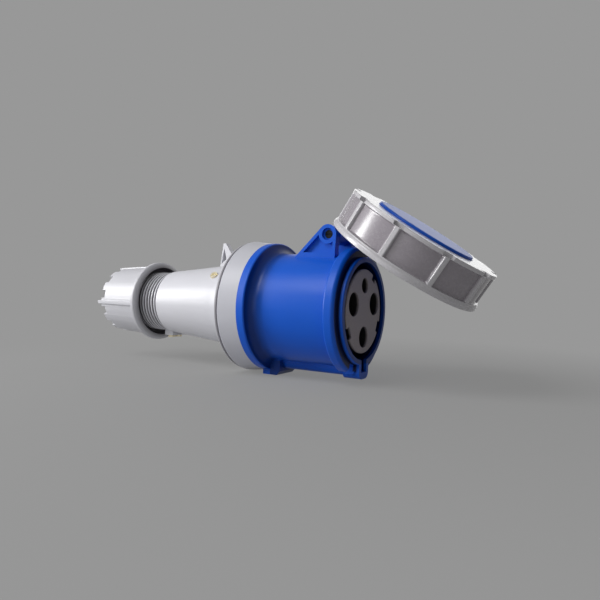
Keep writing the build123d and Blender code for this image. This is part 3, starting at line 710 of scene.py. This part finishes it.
# The photograph's camera, measured from the mouth's centre on the connector's own axis
shot = {
    "back": 156.3 * mm, "side": -362.6 * mm, "up": 37.0 * mm,
    "forward": (-0.50168, 0.86194, -0.07335),
    "upright": (-0.03684, 0.06343, 0.99731),
    "roll": 3.5,                  # degrees the connector is turned about its axis in the photo
    "lens": 32.78, "sensor": 36.0, "clipStart": 0.01,
}


def cameraAxes():
    turn = Matrix.Rotation(math.radians(shot["roll"]), 3, "X")
    place = turn @ Vector((shot["back"], shot["side"], shot["up"])) + Vector((mouthX, 0, 0))
    forward = (turn @ Vector(shot["forward"])).normalized()
    right = forward.cross(turn @ Vector(shot["upright"])).normalized()
    return place, right, right.cross(forward), forward


def addCamera():
    place, right, up, forward = cameraAxes()
    data = bpy.data.cameras.new("photoCamera")
    data.lens = shot["lens"]
    data.sensor_width = shot["sensor"]
    data.clip_start = shot["clipStart"]
    camera = placeInScene("photoCamera", data)
    turn = Matrix((right, up, -forward)).transposed().to_4x4()
    camera.matrix_world = Matrix.Translation(place) @ turn
    bpy.context.scene.camera = camera
    print("camera:", shot["lens"], "mm lens")


# Soft studio lamps. Each stands where "at" says as the camera sees it: right, up, towards it
lamps = {
    "key": {"at": (-0.62, 0.85, 0.50), "size": (0.5, 0.5), "watts": 3.2},
    "fill": {"at": (-0.35, -0.05, 0.95), "size": (0.9, 0.9), "watts": 1.4},
    "back": {"at": (0.33, 0.30, -0.89), "size": (0.8, 0.8), "watts": 1.6},
    "gleam": {"at": (-0.95, 0.30, 0.04), "size": (0.3, 0.45), "watts": 5.6},
}
lampRig = {"aim": (-0.06, 0.0, 0.0), "reach": 0.9}   # metres: what they face, and from how far


def addLamps():
    place, right, up, forward = cameraAxes()
    aim = Vector(lampRig["aim"])
    for name, lamp in lamps.items():
        a, b, c = lamp["at"]
        offset = (right * a + up * b - forward * c).normalized() * lampRig["reach"]
        data = bpy.data.lights.new(name, "AREA")
        data.shape = "ELLIPSE"
        data.size, data.size_y = lamp["size"]
        data.energy = lamp["watts"]
        light = placeInScene(name, data)
        light.location = aim + offset
        light.rotation_mode = "QUATERNION"
        light.rotation_quaternion = offset.to_track_quat("Z", "Y")
        light.visible_camera = False
    print("lamps:", len(lamps))


# Floor and wall in one curved sheet of paper, in metres
studio = {
    "floorRadius": 1.4, "wallRadius": 2.6, "wallHeight": 2.2, "steps": 96, "curve": 12,
    "worldLight": 0.30,
    "paper": "#989898",           # the photograph's flat grey, seen wherever no shadow falls
    "shadeShare": 0.38,           # under the connector this share of the tone is from the lamps
    "shadeNear": 0.12, "shadeFar": 0.45,   # full inside the first distance, none past the second
    "lampTone": "#9c9c9c",        # what the lamps light where the paper is seen
    "bounceTone": "#b8b8b8",      # what the paper throws back on the connector
}


# Seamless backdrop paper: an even grey, with the lamps' light and shade only near the connector
def studioPaper():
    material, tree = newMaterial("studioPaper")
    place = addNode(tree, "ShaderNodeTexCoord").outputs["Object"]
    far = addNode(tree, "ShaderNodeVectorMath", {0: place}, operation="LENGTH")
    share = addNode(tree, "ShaderNodeMapRange",
                    {"Value": far.outputs["Value"], "From Min": studio["shadeNear"],
                     "From Max": studio["shadeFar"], "To Min": studio["shadeShare"],
                     "To Max": 0.0}, interpolation_type="SMOOTHSTEP")
    even = addNode(tree, "ShaderNodeEmission",
                   {"Color": hexToLinear(studio["paper"]), "Strength": 1.0})
    shaded = addNode(tree, "ShaderNodeBsdfDiffuse", {"Color": hexToLinear(studio["lampTone"])})
    seen = addNode(tree, "ShaderNodeMixShader",
                   {0: share.outputs["Result"], 1: even.outputs[0], 2: shaded.outputs[0]})
    rays = addNode(tree, "ShaderNodeLightPath").outputs
    direct = rays["Is Camera Ray"]
    for kind in ("Is Glossy Ray", "Is Transmission Ray"):
        direct = addNode(tree, "ShaderNodeMath", {0: direct, 1: rays[kind]},
                         operation="MAXIMUM").outputs[0]
    bounce = addNode(tree, "ShaderNodeBsdfDiffuse", {"Color": hexToLinear(studio["bounceTone"])})
    pick = addNode(tree, "ShaderNodeMixShader",
                   {0: direct, 1: bounce.outputs[0], 2: seen.outputs[0]})
    finishMaterial(tree, pick)
    return material


def addAir():
    world = bpy.data.worlds.new("studioAir")
    world.use_nodes = True
    tree = world.node_tree
    tree.nodes.clear()
    air = addNode(tree, "ShaderNodeBackground",
                  {"Color": (1, 1, 1, 1), "Strength": studio["worldLight"]})
    addNode(tree, "ShaderNodeOutputWorld", {"Surface": air.outputs[0]})
    bpy.context.scene.world = world


# The sheet's profile: radius and height above the floor
def paperProfile():
    inner, outer = studio["floorRadius"], studio["wallRadius"]
    profile = [(inner, 0.0)]
    for i in range(1, studio["curve"] + 1):
        a = math.radians(90 * i / studio["curve"])
        profile.append((inner + (outer - inner) * math.sin(a), (outer - inner) * (1 - math.cos(a))))
    return profile + [(outer, studio["wallHeight"])]


def addFloor():
    steps = studio["steps"]
    mesh = bmesh.new()
    rings = []
    for r, z in paperProfile():
        turns = [2 * math.pi * i / steps for i in range(steps)]
        rings.append([mesh.verts.new((r * math.cos(a), r * math.sin(a), cadLow.z + z))
                      for a in turns])
    mesh.faces.new(rings[0])
    bridgeLoops(mesh, rings)
    bmesh.ops.recalc_face_normals(mesh, faces=mesh.faces)
    data = bpy.data.meshes.new("studioFloor")
    mesh.to_mesh(data)
    mesh.free()
    for face in data.polygons:
        face.use_smooth = True
    data.materials.append(studioPaper())
    floor = placeInScene("studioFloor", data)
    print("studio paper:", len(data.polygons), "faces")


dressNodes()
softenMouldings()
makeBayonetRing()
makeGlandNut()
addCamera()
addLamps()
addAir()
addFloor()
bpy.context.scene.view_settings.view_transform = "Standard"
print("studio ready")
